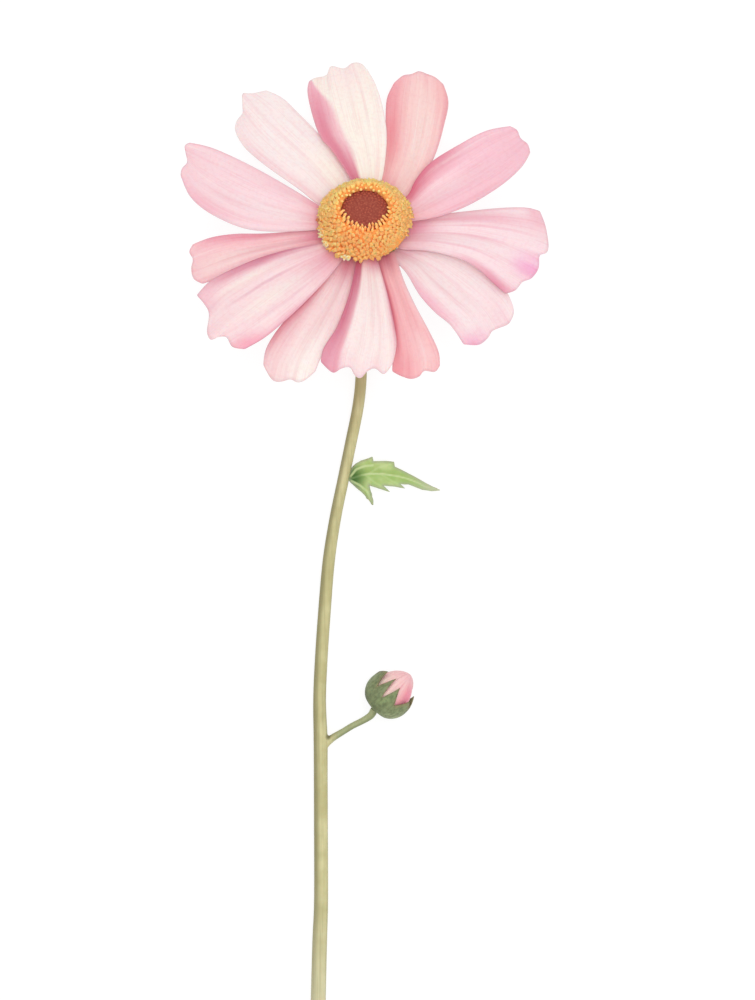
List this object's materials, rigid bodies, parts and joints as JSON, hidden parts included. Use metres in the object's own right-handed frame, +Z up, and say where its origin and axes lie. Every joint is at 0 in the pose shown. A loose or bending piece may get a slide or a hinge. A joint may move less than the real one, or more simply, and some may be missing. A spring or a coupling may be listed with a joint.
{
  "type": "daisy flower",
  "caption": "Cut daisy flower with a flat pink bloom, notched petals, a yellow disc with a brown middle, an olive stem, a toothed leaf and a side bud, lying on a surface.",
  "frame": {"origin": "on the surface that the flower lies on, under the middle of its bounding box", "axes": "+Y from the cut end of the stem to the bloom, +Z up from the surface, +X to the side of the leaf and the bud"},
  "size_m": [0.0734, 0.1994, 0.0375],
  "materials": {
    "stem": "matt, finely ribbed plant stem",
    "leaf": "matt leaf with a pale midrib",
    "green_base": "matt green bracts",
    "petal_pink": "soft matt petal with fine lengthwise veins",
    "petal_pale": "soft matt petal with fine lengthwise veins",
    "petal_coral": "soft matt petal with fine lengthwise veins",
    "petal_rose": "soft matt petal with fine lengthwise veins",
    "floret": "matt yellow florets",
    "disc_middle": "matt brown, closed florets",
    "calyx": "matt green sepals",
    "bud_petal": "rolled pink petals"
  },
  "bodies": {
    "root": {"stem": "stem", "leaf": "leaf", "involucre": "green_base", "petal_01": "petal_pink", "petal_02": "petal_pale", "petal_03": "petal_pale", "petal_04": "petal_coral", "petal_05": "petal_rose", "petal_06": "petal_pink", "petal_07": "petal_pink", "petal_08": "petal_coral", "petal_09": "petal_pale", "petal_10": "petal_pink", "petal_11": "petal_pink", "petal_12": "petal_rose", "disc_florets": "floret", "disc_centre": "disc_middle", "bud_calyx": "calyx", "bud_petals": "bud_petal"}
  },
  "joints": []
}
